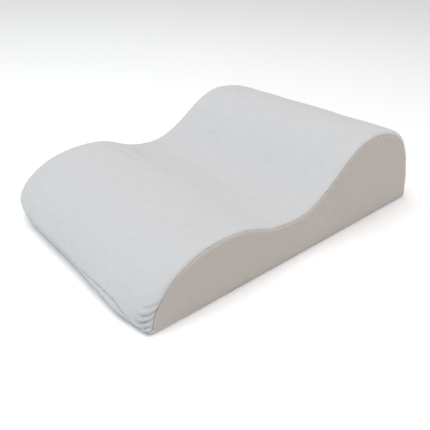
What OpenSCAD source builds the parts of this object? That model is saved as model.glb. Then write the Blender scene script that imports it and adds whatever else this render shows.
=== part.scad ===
// Contoured neck pillow: a wave-shaped foam core in a knit liner and a sewn cover with a zip.
// +Z is up, Y runs from the low lobe (-Y) to the high lobe (+Y), and X runs along the ridges.
// The origin is on the resting surface, at the middle of the pillow.

/* [Overall size] */
// Length from the low lobe's end to the high lobe's end
length = 500; // [440:5:560]
// Width along the ridges
width = 305; // [280:5:360]
// Height of the high lobe
high_h = 126; // [105:1:140]
// Height of the low lobe
low_h = 79; // [70:1:90]
// Height of the valley between the lobes
valley_h = 57; // [48:1:62]

/* [Wave] */
// Low crest, as a share of the length from the low end
low_at = 0.22; // [0.18:0.002:0.26]
// Valley, as a share of the length from the low end
valley_at = 0.45; // [0.42:0.002:0.5]
// High crest, as a share of the length from the low end
high_at = 0.742; // [0.7:0.002:0.78]
// Radius of the low end's bottom edge
front_round = 25; // [12:1:28]
// Lean of the lower back face from upright, in degrees
back_lean = 15; // [10:1:20]
// Straight part of the back face, measured up its slope
back_flat = 38; // [36:1:50]

/* [Corners in plan] */
// How far from the end panel the low end starts to round
low_run = 56; // [30:1:80]
// How far back the low end's corners sit
low_drop = 12; // [5:1:25]
// How far from the end panel the high end starts to round
high_run = 22; // [10:1:40]
// How far forward the high end's corners sit
high_drop = 5; // [2:1:12]

/* [Cover and liner] */
// Thickness of the cover's pile knit
cover_t = 1.6; // [1:0.1:2.5]
// Thickness of the liner's plain knit
liner_t = 0.8; // [0.5:0.1:1.2]
// Space for seam allowances between cover and liner
seam_space = 1.5; // [1.3:0.1:3]
// Width of the overlocked seam allowances
overlock_w = 8; // [5:1:12]
// Height of the seam where the base panel meets the top panel at the low end
lip_h = 21; // [12:1:24]
// Depth of the end panels behind the cover's rolled edge
end_recess = 0.4; // [0.4:0.1:2]
// Width of the care label
label_w = 22; // [15:1:35]
// Length of the care label
label_l = 34; // [20:1:50]

/* [Zip] */
// Height of the zip's centre line up the back face's slope
zip_up = 22; // [20:1:24]
// Length of the opening in the cover
slot_l = 270; // [264:2:272]
// Width of the opening in the cover
slot_w = 12; // [11.5:0.5:14]
// Length of the chain from stop to stop
chain_l = 246; // [200:2:250]
// Width of one coil
coil_w = 3.05; // [2.6:0.05:3.2]
// Height of one coil
coil_h = 2.4; // [2:0.1:2.6]
// Width of one tape
tape_w = 13.2; // [11:0.1:14]
// Thickness of one tape
tape_t = 0.7; // [0.5:0.1:0.8]
// Length of the slider
slider_l = 10.5; // [9:0.5:12]
// Length of the pull from its pin
pull_l = 26; // [20:1:34]
// Width of the pull
pull_w = 6.4; // [5.5:0.1:8]

/* [Hidden] */
$fn = 40;

gap = 0.1;
curve_steps = 12;
corner_steps = 8;
far = 2 * length;

cover_color = [0.86, 0.87, 0.88];
end_color = [0.78, 0.75, 0.72];
liner_color = [0.92, 0.92, 0.90];
foam_color = [0.95, 0.91, 0.78];
thread_color = [0.97, 0.97, 0.95];
zip_color = [0.90, 0.90, 0.91];
metal_color = [0.72, 0.73, 0.75];

// insets of each layer's outer face from the cover's outer face
liner_in = cover_t + seam_space;
foam_in = liner_in + liner_t + 2 * gap;

// the same along X, where the end panels sit a little behind the rolled edge
cover_half = width / 2;
end_half = cover_half - end_recess;
liner_half = end_half - cover_t - seam_space;
foam_half = liner_half - liner_t - 2 * gap;

// depths behind the zip face, where the slider needs room
tape_top = -cover_t - gap;
slack_liner = 5;
slack_foam = slack_liner + liner_t + 2 * gap;

// where the base panel's back lip takes over from its front lip
back_zone_y = 0.4 * length;

// how far inside the outline the care label's sewn edge sits
label_in = cover_t + 3;

// levels on the slider, measured out from the cover's face
coil_top = tape_top + coil_h + gap / 2;
plate_low = coil_top + 0.25;
plate_t = 1.2;
plate_top = plate_low + plate_t;
under_top = tape_top - tape_t - 0.5;
pin_r = 0.6;
pin_up = plate_top + pin_r + 0.5;
pin_x = -1.6;
bridge_half = 4.2;
bridge_foot = 1.6;
bridge_w = 2;
bridge_t = 0.9;
arm_w = 1.2;
arm_l = 6.6;
wedge_from = 1.2;
slider_wall = 0.9;
tail_half = 4.3;
mouth_half = 5;
tape_clear = 0.3;

// stops crimped round the tapes: their length, wall, reach over a coil, and rise above the tape
stop_l = 2.5;
stop_wall = 0.7;
stop_w = 2.7;
stop_rise = 2.4;

// sewing thread round the zip
thread_w = 0.5;
thread_t = 0.35;
stitch_off = 2.4;
bartack_off = 2.5;
bartack_w = 2;

// half the gap between the two tapes' edges
tape_gap = 0.8;

// where the slider stands when the zip is closed
slider_x = chain_l / 2 - slider_l / 2;
coil_end = slider_x + wedge_from - 2 * gap;

// ---- outline of the wave ----

function share(s) = (s - 0.5) * length;

function bezier(a, b, c, d, t) =
    pow(1 - t, 3) * a + 3 * pow(1 - t, 2) * t * b + 3 * (1 - t) * t * t * c + t * t * t * d;

function curve(a, b, c, d) = [for (i = [0:curve_steps - 1]) bezier(a, b, c, d, i / curve_steps)];

front_break = [-length / 2, front_round];
back_foot = [length / 2, 0];
low_crest = [share(low_at), low_h];
valley = [share(valley_at), valley_h];
high_crest = [share(high_at), high_h];
back_up = [-sin(back_lean), cos(back_lean)];
back_break = back_foot + back_flat * back_up;

wave = concat(
    curve(front_break, front_break + [8, 0.33 * low_h], low_crest - [63, 0], low_crest),
    curve(low_crest, low_crest + [62, 0], valley - [62, 0], valley),
    curve(valley, valley + [62, 0], high_crest - [62, 0], high_crest),
    curve(high_crest, high_crest + [71, 0], back_break + 55 * back_up, back_break),
    [back_break, back_foot]
);

// a point of the wave, moved d inwards along the normal there
function moved_in(i, d) =
    let (a = wave[i - 1], b = wave[i + 1], t = (b - a) / norm(b - a)) wave[i] + d * [t[1], -t[0]];

function back_foot_in(d) = [length / 2 - d * (1 + sin(back_lean)) / cos(back_lean), d];

function front_edge(d) = [
    for (i = [0:corner_steps])
    let (a = 90 * i / corner_steps, r = front_round - d)
    [front_round - length / 2 - r * sin(a), front_round - r * cos(a)]
];

function outline(d) = concat(
    front_edge(d),
    [for (i = [1:len(wave) - 2]) moved_in(i, d)],
    [back_foot_in(d)]
);

// ---- outline in plan, with its ends carried on past the sides ----

function arc_r(run, drop) = (run * run + drop * drop) / (2 * drop);

function corner(run, drop, d, i) =
    let (r = arc_r(run, drop), a = asin(run / r) * i / corner_steps)
    [width / 2 - run + (r - d) * sin(a), length / 2 - r + (r - d) * cos(a)];

function half_edge(run, drop, d) = concat(
    [for (i = [0:corner_steps]) corner(run, drop, d, i)],
    [[width, corner(run, drop, d, corner_steps)[1]]]
);

function flipped(points) = [for (i = [len(points) - 1:-1:0]) points[i]];

function plan(d) =
    let (low = half_edge(low_run, low_drop, d), high = half_edge(high_run, high_drop, d))
    concat(
        [for (p = low) [p[0], -p[1]]],
        flipped(high),
        [for (p = high) [-p[0], p[1]]],
        [for (p = flipped(low)) [-p[0], -p[1]]]
    );

// ---- building blocks ----

// the pillow's body, d inside the cover's outer face, out to +-half along X
module body(d, half) {
    intersection() {
        rotate([90, 0, 90]) translate([0, 0, -half]) linear_extrude(2 * half) polygon(outline(d));
        linear_extrude(2 * high_h) polygon(plan(d));
    }
}

// a slice of the body at one end: side is -1 (left) or 1 (right)
module end_slice(d, outer, thickness) {
    intersection() {
        body(d, outer);
        translate([outer - thickness, -far / 2, 0]) cube([far, far, far]);
    }
}

module on_side(side) {
    if (side > 0) children();
    else mirror([1, 0, 0]) children();
}

// the back face's own axes: x along the zip, y down the slope, z out of the face
module on_back() {
    translate([0, length / 2 + zip_up * back_up[0], zip_up * back_up[1]])
        rotate([back_lean - 90, 0, 0]) children();
}

// everything deeper than d behind the zip face
module behind(d) {
    on_back() translate([-far / 2, -far, -far - d]) cube([far, 2 * far, far]);
}

module slot_shape(l, w, h) {
    cube([l - w, w, h], center = true);
    for (side = [-1, 1]) translate([side * (l - w) / 2, 0, 0]) cylinder(d = w, h = h, center = true);
}

// the part of the cover that the base panel takes: the floor, the front lip and the back lip
module base_zone(extra) {
    translate([-far / 2, -far / 2, -far]) cube([far, far / 2 + back_zone_y, far + lip_h + extra]);
    on_back() translate([-far / 2, -extra, -length / 8]) cube([far, length / 8, length / 6]);
}

module cover_wrap() {
    difference() {
        body(0, cover_half);
        body(cover_t, cover_half + 1);
        on_back() slot_shape(slot_l, slot_w, 20);
    }
}

// ---- core and liner ----

module foam_core() {
    color(foam_color) intersection() {
        body(foam_in, foam_half);
        behind(slack_foam);
    }
}

module liner_sleeve() {
    color(liner_color) difference() {
        intersection() {
            body(liner_in, liner_half);
            behind(slack_liner);
        }
        intersection() {
            body(liner_in + liner_t, liner_half + 1);
            behind(slack_liner + liner_t);
        }
    }
}

module liner_end(side) {
    color(liner_color) on_side(side) intersection() {
        end_slice(liner_in + liner_t + gap, liner_half, liner_t);
        behind(slack_liner + liner_t + gap);
    }
}

module liner_left_end() {
    liner_end(-1);
}

module liner_right_end() {
    liner_end(1);
}

// ---- cover ----

module cover_top_panel() {
    color(cover_color) difference() {
        cover_wrap();
        base_zone(2 * gap);
    }
}

module cover_base_panel() {
    color(cover_color) intersection() {
        cover_wrap();
        base_zone(0);
    }
}

module cover_end(side) {
    color(end_color) on_side(side) end_slice(cover_t + gap, end_half, cover_t);
}

module cover_left_panel() {
    cover_end(-1);
}

module cover_right_panel() {
    cover_end(1);
}

module overlock_ring(side) {
    outer = end_half - cover_t - gap;
    color(thread_color) on_side(side) difference() {
        end_slice(cover_t + gap, outer, seam_space - 3 * gap);
        body(cover_t + overlock_w, cover_half);
    }
}

module left_overlock_seam() {
    overlock_ring(-1);
}

module right_overlock_seam() {
    overlock_ring(1);
}

module front_overlock_seam() {
    color(thread_color) intersection() {
        difference() {
            body(cover_t + gap, liner_half);
            body(liner_in - gap, cover_half);
        }
        translate([-far / 2, -far, lip_h - overlock_w / 2]) cube([far, far, overlock_w]);
    }
}

// a blank label sewn into the left end panel's back seam, lying flat on the panel
module care_label() {
    seam = back_break + 3 * back_up - [label_in, 0];
    color(thread_color) translate([-cover_half, seam[0], seam[1]]) rotate([back_lean, 0, 0])
        translate([0, -label_l, 0]) cube([end_recess - gap, label_l, label_w]);
}

// ---- zip, built in the back face's axes ----

module tape(side) {
    color(zip_color) on_back() on_slope(side)
        translate([-slot_l / 2 - tape_w / 2, tape_gap, tape_top - tape_t])
        cube([slot_l + tape_w, tape_w, tape_t]);
}

// side 1 is the lower half of the zip, side -1 is the upper half
module on_slope(side) {
    if (side > 0) children();
    else mirror([0, 1, 0]) children();
}

module zip_upper_tape() {
    tape(-1);
}

module zip_lower_tape() {
    tape(1);
}

module coil(side) {
    r = coil_h / 2;
    color(zip_color) on_back() on_slope(side)
        translate([-chain_l / 2 + gap, 0, tape_top + r + gap / 2]) rotate([90, 0, 90])
        linear_extrude(chain_l / 2 + coil_end - gap) union() {
            translate([gap / 2 + r, 0]) circle(r);
            translate([gap / 2 + r, -r]) square([coil_w - coil_h, coil_h]);
            translate([gap / 2 + coil_w - r, 0]) circle(r);
        }
}

module zip_upper_coil() {
    coil(-1);
}

module zip_lower_coil() {
    coil(1);
}

module tape_slots() {
    for (side = [-1, 1]) on_slope(side)
        translate([-far / 2, tape_gap - gap / 2, tape_top - tape_t - gap / 2])
        cube([far, far, tape_t + gap]);
}

module zip_top_stops() {
    color(metal_color) on_back() difference() {
        for (side = [-1, 1]) on_slope(side)
            translate([chain_l / 2 + 4 * gap, tape_gap / 2, tape_top - tape_t - stop_wall])
            cube([stop_l, stop_w, tape_t + stop_wall + stop_rise]);
        tape_slots();
    }
}

module zip_bottom_stop() {
    color(metal_color) on_back() difference() {
        translate([-chain_l / 2 - 1.4 * stop_l, -coil_w - tape_clear, tape_top - tape_t - stop_wall])
            cube([1.4 * stop_l, 2 * (coil_w + tape_clear), tape_t + 2 * stop_wall + stop_rise]);
        tape_slots();
    }
}

// the slider's outline, narrow at its tail and wide at its mouth, with rounded corners
module slider_outline(thin, over) {
    end = slider_l / 2 + over;
    tail = tail_half - thin;
    mouth = mouth_half - thin;
    intersection() {
        polygon([[-end, -tail], [end, -mouth], [end, mouth], [-end, tail]]);
        circle(r = slider_l * 0.63 + over);
    }
}

module slider_shell() {
    skirt_low = tape_top + tape_clear;
    difference() {
        translate([0, 0, skirt_low]) linear_extrude(plate_top - skirt_low) slider_outline(0, 0);
        translate([0, 0, skirt_low - 1]) linear_extrude(plate_low - skirt_low + 1)
            slider_outline(slider_wall, 1);
    }
    translate([0, 0, under_top - plate_t]) linear_extrude(plate_t) slider_outline(0, 0);
}

module slider_wedge() {
    translate([wedge_from, 0, under_top - gap]) linear_extrude(plate_low - under_top + 2 * gap)
        polygon([[0, -0.2], [2, -0.5], [3.8, -0.5], [3.8, 0.5], [2, 0.5], [0, 0.2]]);
}

module slider_bridge() {
    bridge_h = 2 * pin_r + 0.9 + bridge_t;
    translate([0, bridge_w / 2, plate_top - gap]) rotate([90, 0, 0]) linear_extrude(bridge_w)
        difference() {
            translate([-bridge_half, 0]) square([2 * bridge_half, bridge_h + gap]);
            translate([bridge_foot - bridge_half, -1])
                square([2 * (bridge_half - bridge_foot), bridge_h + 1 + gap - bridge_t]);
        }
}

module zip_slider() {
    color(metal_color) on_back() translate([slider_x, 0, 0]) {
        slider_shell();
        slider_wedge();
        slider_bridge();
    }
}

// the pull lies back over the closed chain, with its pin through the slider's bridge
module zip_pull() {
    color(metal_color) on_back() translate([slider_x + pin_x, 0, pin_up]) {
        rotate([90, 0, 0]) cylinder(r = pin_r, h = 2 * arm_w + bridge_w + 0.6, center = true);
        for (side = [-1, 1]) on_slope(side)
            translate([-arm_l - 1, bridge_w / 2 + 0.3, -pin_r]) cube([arm_l + 1, arm_w, 2 * pin_r]);
        difference() {
            translate([0, 0, -pin_r]) linear_extrude(2 * pin_r) union() {
                translate([-pull_l + pull_w / 2, -pull_w / 2]) square([pull_l - arm_l - pull_w / 2, pull_w]);
                translate([-pull_l + pull_w / 2, 0]) circle(d = pull_w);
            }
            translate([-pull_l + pull_w * 0.75, 0, 0]) slot_shape(6, 2.6, 4);
        }
    }
}

// ---- sewing round the zip ----

module zip_stitching(side) {
    color(thread_color) on_back() on_slope(side)
        translate([-slot_l / 2, slot_w / 2 + stitch_off, gap / 2]) cube([slot_l, thread_w, thread_t]);
}

module zip_upper_stitching() {
    zip_stitching(-1);
}

module zip_lower_stitching() {
    zip_stitching(1);
}

module zip_bartacks() {
    color(thread_color) on_back() for (side = [-1, 1])
        translate([side * (slot_l / 2 + bartack_off) - bartack_w / 2, -slot_w / 2, gap / 2])
        cube([bartack_w, slot_w, thread_w]);
}

foam_core();
liner_sleeve();
liner_left_end();
liner_right_end();
cover_top_panel();
cover_base_panel();
cover_left_panel();
cover_right_panel();
left_overlock_seam();
right_overlock_seam();
front_overlock_seam();
zip_upper_tape();
zip_lower_tape();
zip_upper_coil();
zip_lower_coil();
zip_top_stops();
zip_bottom_stop();
zip_slider();
zip_pull();
zip_upper_stitching();
zip_lower_stitching();
zip_bartacks();
care_label();
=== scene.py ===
import math
import bpy
import numpy as np
from mathutils import Matrix, Vector
from mathutils.geometry import delaunay_2d_cdt


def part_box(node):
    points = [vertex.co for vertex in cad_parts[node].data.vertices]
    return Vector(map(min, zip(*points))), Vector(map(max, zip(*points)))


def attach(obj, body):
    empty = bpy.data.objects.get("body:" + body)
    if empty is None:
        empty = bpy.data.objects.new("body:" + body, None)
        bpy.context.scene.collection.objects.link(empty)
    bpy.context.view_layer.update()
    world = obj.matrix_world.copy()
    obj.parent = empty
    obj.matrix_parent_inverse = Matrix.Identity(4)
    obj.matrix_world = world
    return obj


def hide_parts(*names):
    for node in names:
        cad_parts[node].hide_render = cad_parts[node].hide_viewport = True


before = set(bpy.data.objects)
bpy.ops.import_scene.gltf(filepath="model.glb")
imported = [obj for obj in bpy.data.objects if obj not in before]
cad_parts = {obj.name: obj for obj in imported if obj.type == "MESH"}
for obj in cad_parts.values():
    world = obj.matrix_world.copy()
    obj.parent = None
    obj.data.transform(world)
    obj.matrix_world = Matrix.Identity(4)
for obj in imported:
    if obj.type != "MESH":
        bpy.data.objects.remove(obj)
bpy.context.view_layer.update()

# where things are, from the frame (metres)

baseLow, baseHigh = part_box("cover_base_panel")
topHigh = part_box("cover_top_panel")[1]
halfWidth = baseHigh.x
halfLength = -baseLow.y
pillowLength = 2 * halfLength

# the wave: crests and valley as shares of the length, and how its curves leave them
wave = {
    "lowAt": 0.22,
    "lowHeight": 0.079,
    "valleyAt": 0.45,
    "valleyHeight": 0.057,
    "highAt": 0.742,
    "highHeight": topHigh.z - 0.0003,
    "frontHandle": 0.0045,
    "frontHandleHeight": 0.051,
    "lowReachFront": 0.063,
    "valleyReach": 0.062,
    "riseReach": 0.062,
    "backReach": 0.071,
    "backHandle": 0.055,
    "backLean": math.radians(15),
    "backFlat": 0.038,
    "footRound": 0.0065,
    "frontRoundLeft": 0.028,
    "frontRoundRight": 0.010,
    "frontRoundFrom": -0.023,
    "frontRoundTo": 0.172,
    "lowRun": 0.056,
    "lowDrop": 0.0115,
    "lowPower": 1.64,
    "highRun": 0.022,
    "highDrop": 0.005,
    "highPower": 2.0,
    "backShoulder": 0.005,
    "highTilt": 0.0055,
    "highBow": 0.0002,
    "lowTilt": -0.0014,
    "highFade": (0.03, 0.122),
    "highFrom": (-0.02, 0.10),
    "lowFade": (0.03, 0.079),
    "lowUpTo": (-0.10, 0.02),
    "arcPull": 0.4477,
    "footPull": 0.552,
}

# the back face, where the zip is: its middle, and its axes down the slope and out of it
zipUp = 0.022
backUp = Vector((0, -math.sin(wave["backLean"]), math.cos(wave["backLean"])))
backOut = Vector((0, math.cos(wave["backLean"]), math.sin(wave["backLean"])))
zipMiddle = Vector((0, halfLength, 0)) + zipUp * backUp


def smooth(start, end, value):
    u = np.clip((np.asarray(value, float) - start) / (end - start), 0, 1)
    return u * u * (3 - 2 * u)


# how far a corner falls back from the straight end, in plan
def cornerDrop(x, run, drop, power):
    return drop * np.clip((np.abs(x) - (halfWidth - run)) / run, 0, 1) ** power


def frontRound(x):
    w = wave
    return w["frontRoundLeft"] + (w["frontRoundRight"] - w["frontRoundLeft"]) * smooth(
        w["frontRoundFrom"], w["frontRoundTo"], x)


# the closed outline at one place along X, as eight cubic stretches: bottom edge, front, dip, rise,
# high back, back slope, foot, floor
def outlineStretches(x):
    w = wave
    front = -halfLength + cornerDrop(x, w["lowRun"], w["lowDrop"], w["lowPower"])
    back = halfLength - cornerDrop(x, w["highRun"], w["highDrop"], w["highPower"])
    shoulder = cornerDrop(x, w["highRun"], w["backShoulder"], w["highPower"])
    r = frontRound(x)
    flat = np.zeros_like(x)
    arcPull = w["arcPull"] * r
    # the bottom edge's arc meets the front in one line with the front's first handle
    arcLean = (r - arcPull) * w["frontHandle"] / (w["frontHandleHeight"] - r)
    low = (w["lowAt"] - 0.5) * pillowLength + flat
    valley = (w["valleyAt"] - 0.5) * pillowLength + flat
    high = (w["highAt"] - 0.5) * pillowLength + flat
    lowZ = w["lowHeight"] + flat
    valleyZ = w["valleyHeight"] + flat
    highZ = w["highHeight"] + flat
    breakY = back + w["backFlat"] * backUp.y
    breakZ = w["backFlat"] * backUp.z + flat
    foot = w["footRound"]
    footY = back + foot * backUp.y
    footZ = foot * backUp.z + flat
    corner = w["footPull"]
    lowStart = low - w["lowReachFront"] + (front + halfLength)
    handleY = breakY + w["backHandle"] * backUp.y
    handleZ = breakZ + w["backHandle"] * backUp.z
    floorFrom = back - foot
    floorTo = front + r
    frontHandle = (front + w["frontHandle"], w["frontHandleHeight"] + flat)
    lowHandle = (low + w["valleyReach"], lowZ)
    dipHandle = (valley - w["valleyReach"], valleyZ)
    riseHandle = (valley + w["riseReach"], valleyZ)
    highHandle = (high - w["riseReach"], highZ)
    crownHandle = (high + w["backReach"] - shoulder, highZ)
    bend = (footY + corner * (back - footY), footZ * (1 - corner))
    return [
        [(floorTo, flat), (front + arcPull, flat), (front - arcLean, arcPull), (front, r)],
        [(front, r), frontHandle, (lowStart, lowZ), (low, lowZ)],
        [(low, lowZ), lowHandle, dipHandle, (valley, valleyZ)],
        [(valley, valleyZ), riseHandle, highHandle, (high, highZ)],
        [(high, highZ), crownHandle, (handleY - shoulder, handleZ), (breakY, breakZ)],
        straightStretch((breakY, breakZ), (footY, footZ)),
        [(footY, footZ), bend, (back - (1 - corner) * foot, flat), (floorFrom, flat)],
        straightStretch((floorFrom, flat), (floorTo, flat)),
    ]


def straightStretch(a, b):
    def between(share):
        return (a[0] + share * (b[0] - a[0]), a[1] + share * (b[1] - a[1]))
    return [a, between(1 / 3), between(2 / 3), b]


# y, z and the outward normal of the outline at station t (0 to 8, and round again)
def outlineAt(t, x):
    t, x = np.broadcast_arrays(np.asarray(t, float), np.asarray(x, float))
    turned = np.mod(t, 8)
    which = np.floor(turned).astype(int)
    u = turned - which
    y, z, dy, dz = (np.zeros_like(u) for _ in range(4))
    for index, (a, b, c, d) in enumerate(outlineStretches(x)):
        here = which == index
        weights = ((1 - u) ** 3, 3 * u * (1 - u) ** 2, 3 * u * u * (1 - u), u ** 3)
        slopes = (3 * (1 - u) ** 2, 6 * u * (1 - u), 3 * u * u)
        for out, axis in ((y, 0), (z, 1)):
            value = sum(wt * p[axis] for wt, p in zip(weights, (a, b, c, d)))
            out[here] = value[here]
        for out, axis in ((dy, 0), (dz, 1)):
            ends = (b[axis] - a[axis], c[axis] - b[axis], d[axis] - c[axis])
            value = sum(wt * p for wt, p in zip(slopes, ends))
            out[here] = value[here]
    size = np.maximum(np.hypot(dy, dz), 1e-9)
    ny, nz = -dz / size, dy / size
    side = x / halfWidth
    high = smooth(*wave["highFade"], z) * smooth(*wave["highFrom"], y)
    low = smooth(*wave["lowFade"], z) * (1 - smooth(*wave["lowUpTo"], y))
    highMove = wave["highTilt"] * side + wave["highBow"] * (1 - side * side)
    z = z + high * highMove + low * wave["lowTilt"] * side
    return y, z, ny, nz


# the rolled edge along the two ends: its radius, and how far round it the end seam sits
rollStations = [0, 0.5, 1.25, 1.6, 2, 3.4, 4.0, 4.6, 5, 5.9, 6.5, 7.85, 8]
rollRadii = [
    0.0055, 0.0065, 0.0070, 0.0055, 0.005, 0.005, 0.0065,
    0.0065, 0.0045, 0.0032, 0.0022, 0.0022, 0.0060,
]
seamStations = [0, 0.5, 1.3, 1.7, 2.0, 2.9, 3.5, 4.2, 5, 6, 6.5, 7.85, 8]
seamTurns = [72, 80, 78, 48, 32, 30, 58, 75, 78, 70, 60, 60, 72]


def rollRadius(t):
    return np.interp(np.mod(t, 8), rollStations, rollRadii)


def seamTurn(t):
    return np.radians(np.interp(np.mod(t, 8), seamStations, seamTurns))


# a point of the cover's outer face: across runs from -1 to 1 over the flat width, and on to
# -2 and 2 at the end seams, and -3 and 3 where the end panel's flat begins
def coverPoint(t, across):
    t, across = np.broadcast_arrays(np.asarray(t, float), np.asarray(across, float))
    r = rollRadius(t)
    seam = seamTurn(t)
    beyond = np.abs(across) - 1
    turn = np.where(beyond < 1, seam * beyond, seam + (math.pi / 2 - seam) * (beyond - 1))
    turn = np.clip(turn, 0, math.pi / 2)
    x = np.clip(np.abs(across), 0, 1) * (halfWidth - r) + r * np.sin(turn)
    x = x * np.sign(across)
    y, z, ny, nz = outlineAt(t, x)
    dip = r * (1 - np.cos(turn))
    return np.stack([x, y - ny * dip, z - nz * dip], axis=-1)


# seams across the pillow

seams = {
    "lipHeight": 0.021,
    "lipCornerHeight": 0.0038,
    "lipFrom": 0.102,
    "lipTo": 0.143,
    "slotHalf": 0.135,
    "slotGap": 0.006,
    "grooveDepth": 0.0014,
    "grooveReach": 0.0016,
    "shoulder": 0.0004,
    "shoulderAt": 0.0042,
    "pucker": 0.00026,
    "puckerReach": 0.008,
    "shoulderReach": 0.0026,
    "lipPucker": 1.4,
    "lipFaint": 0.45,
    "lipShowsFrom": (0.020, 0.050),
    "stitchLine": 0.0026,
    "stitchReach": 0.0009,
    "stitchDeep": 0.00035,
    "turnUnder": 0.0009,
    "turnReach": 0.0007,
    "slotRipple": 0.00012,
    "slotRippleReach": 0.006,
}
seeds = {"leftSeam": 11, "rightSeam": 12, "lip": 23, "slot": 31, "tape": 61, "cover": 101, "end": 7}
slopeLength = wave["backFlat"] - wave["footRound"]
zipStation = 5 + (wave["backFlat"] - zipUp) / slopeLength


def lipStation(x):
    height = seams["lipHeight"] - (seams["lipHeight"] - seams["lipCornerHeight"]) * smooth(
        seams["lipFrom"], seams["lipTo"], np.abs(x))
    tries = np.linspace(0, 1.5, 400)
    found = np.zeros_like(x)
    for index, place in np.ndenumerate(x):
        levels = outlineAt(tries, np.full_like(tries, place))[1]
        found[index] = np.interp(height[index], levels, tries)
    return found


def slotGap(x):
    cap = seams["slotGap"]
    past = np.clip((np.abs(x) - (seams["slotHalf"] - cap)) / cap, 0, 1)
    return cap * np.sqrt(1 - past * past)


# places along a length as shares of it, close together near both ends, and near the start for its folds
def seamStops(length, coarse, fine, foldReach=0.0, foldSpacing=0.0013):
    place = np.linspace(0, length, 5000)
    spacing = fine + (coarse - fine) * smooth(0.002, 0.012, np.minimum(place, length - place))
    if foldReach > 0:
        folded = foldSpacing + (coarse - foldSpacing) * smooth(foldReach, foldReach + 0.03, place)
        spacing = np.minimum(spacing, folded)
    count = np.concatenate([[0], np.cumsum(np.diff(place) * 2 / (spacing[1:] + spacing[:-1]))])
    return np.interp(np.linspace(0, count[-1], int(round(count[-1])) + 1), count, place) / length


def acrossStops(coarse):
    flat = halfWidth - float(rollRadius(5.5))
    plain = 1 - seamStops(2 * flat, coarse, 0.0015)
    plain = 2 * plain[plain >= 0.5] - 1
    slotEnd = (seams["slotHalf"] - seams["slotGap"] * (1 - np.sin(np.linspace(0, math.pi / 2, 9)))) / flat
    plain = plain[(plain < slotEnd[0] - 0.006) | (plain > slotEnd[-1] + 0.006)]
    right = np.sort(np.concatenate([plain, slotEnd]))
    rolled = 1 + np.array([0.16, 0.32, 0.48, 0.62, 0.74, 0.84, 0.92, 0.97, 1.0])
    right = np.concatenate([right, rolled])
    return np.concatenate([-right[::-1], right[1:]])


# stations of one panel's rows and columns, from the curve startAt(x) to the curve endAt(x)
def panelStations(startAt, endAt, across, coarse, fine, startZone, endZone, foldReach):
    middle = np.linspace(startAt(np.zeros(1))[0], endAt(np.zeros(1))[0], 3000)
    y, z, _, _ = outlineAt(middle, np.zeros_like(middle))
    run = np.concatenate([[0], np.cumsum(np.hypot(np.diff(y), np.diff(z)))])
    stops = seamStops(run[-1], coarse, fine, foldReach)
    rows = np.interp(stops * run[-1], run, middle)
    x = np.clip(np.abs(across), 0, 1) * (halfWidth - float(rollRadius(5.5))) * np.sign(across)
    startShift = startAt(x) - middle[0]
    endShift = endAt(x) - middle[-1]
    atStart = 1 - smooth(0, startZone, stops * run[-1])
    atEnd = smooth(run[-1] - endZone, run[-1], stops * run[-1])
    stations = rows[:, None] + atStart[:, None] * startShift[None, :] + atEnd[:, None] * endShift[None, :]
    return stations, run[-1]


# cloth: wrinkles and folds

def ripple(s, seed, shortest, longest, waves=7):
    draw = np.random.default_rng(seed)
    total = np.zeros_like(np.asarray(s, float))
    for _ in range(waves):
        turns = s / draw.uniform(shortest, longest)
        total = total + np.sin(2 * math.pi * turns + draw.uniform(0, 6.28))
    return total / math.sqrt(waves / 2)


def drift(points, seed, shortest, longest, waves=14):
    draw = np.random.default_rng(seed)
    total = np.zeros(points.shape[:-1])
    for _ in range(waves):
        way = draw.normal(size=3)
        way = way / np.linalg.norm(way)
        turns = (points @ way) / draw.uniform(shortest, longest)
        total = total + np.sin(2 * math.pi * turns + draw.uniform(0, 6.28))
    return total / math.sqrt(waves / 2)


# distance to a chain of points, and how far along the chain the nearest place is (0 to 1)
def toPath(points, path):
    path = np.asarray(path, float)
    lengths = np.linalg.norm(np.diff(path, axis=0), axis=1)
    walked = np.concatenate([[0], np.cumsum(lengths)])
    best = np.full(points.shape[:-1], 1e9)
    along = np.zeros(points.shape[:-1])
    for i, length in enumerate(lengths):
        way = (path[i + 1] - path[i]) / length
        reach = np.clip((points - path[i]) @ way, 0, length)
        apart = np.linalg.norm(points - path[i] - reach[..., None] * way, axis=-1)
        nearer = apart < best
        best = np.where(nearer, apart, best)
        along = np.where(nearer, (walked[i] + reach) / walked[-1], along)
    return best, along


# a soft fold: a valley with a low ridge each side, fading towards its two ends
def softFold(points, path, depth, width, fadeIn=0.15, fadeOut=0.4):
    apart, along = toPath(points, path)
    strength = smooth(0, max(fadeIn, 1e-4), along) * (1 - smooth(1 - fadeOut, 1, along))
    if fadeIn == 0:
        strength = 1 - smooth(1 - fadeOut, 1, along)
    u = apart / width
    return -depth * strength * (np.exp(-u * u) - 0.45 * np.exp(-((u - 1.9) ** 2) / 0.8))


def groove(apart):
    depth = seams["grooveDepth"] * np.exp(-apart / seams["grooveReach"])
    swell = seams["shoulder"] * np.exp(-((apart - seams["shoulderAt"]) / seams["shoulderReach"]) ** 2)
    return swell - depth


def puckers(apart, s, seed):
    slow = 0.6 + 0.4 * ripple(s, seed + 50, 0.05, 0.12, 4)
    quick = ripple(s, seed, 0.008, 0.014)
    return seams["pucker"] * slow * quick * np.exp(-apart / seams["puckerReach"])


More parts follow.
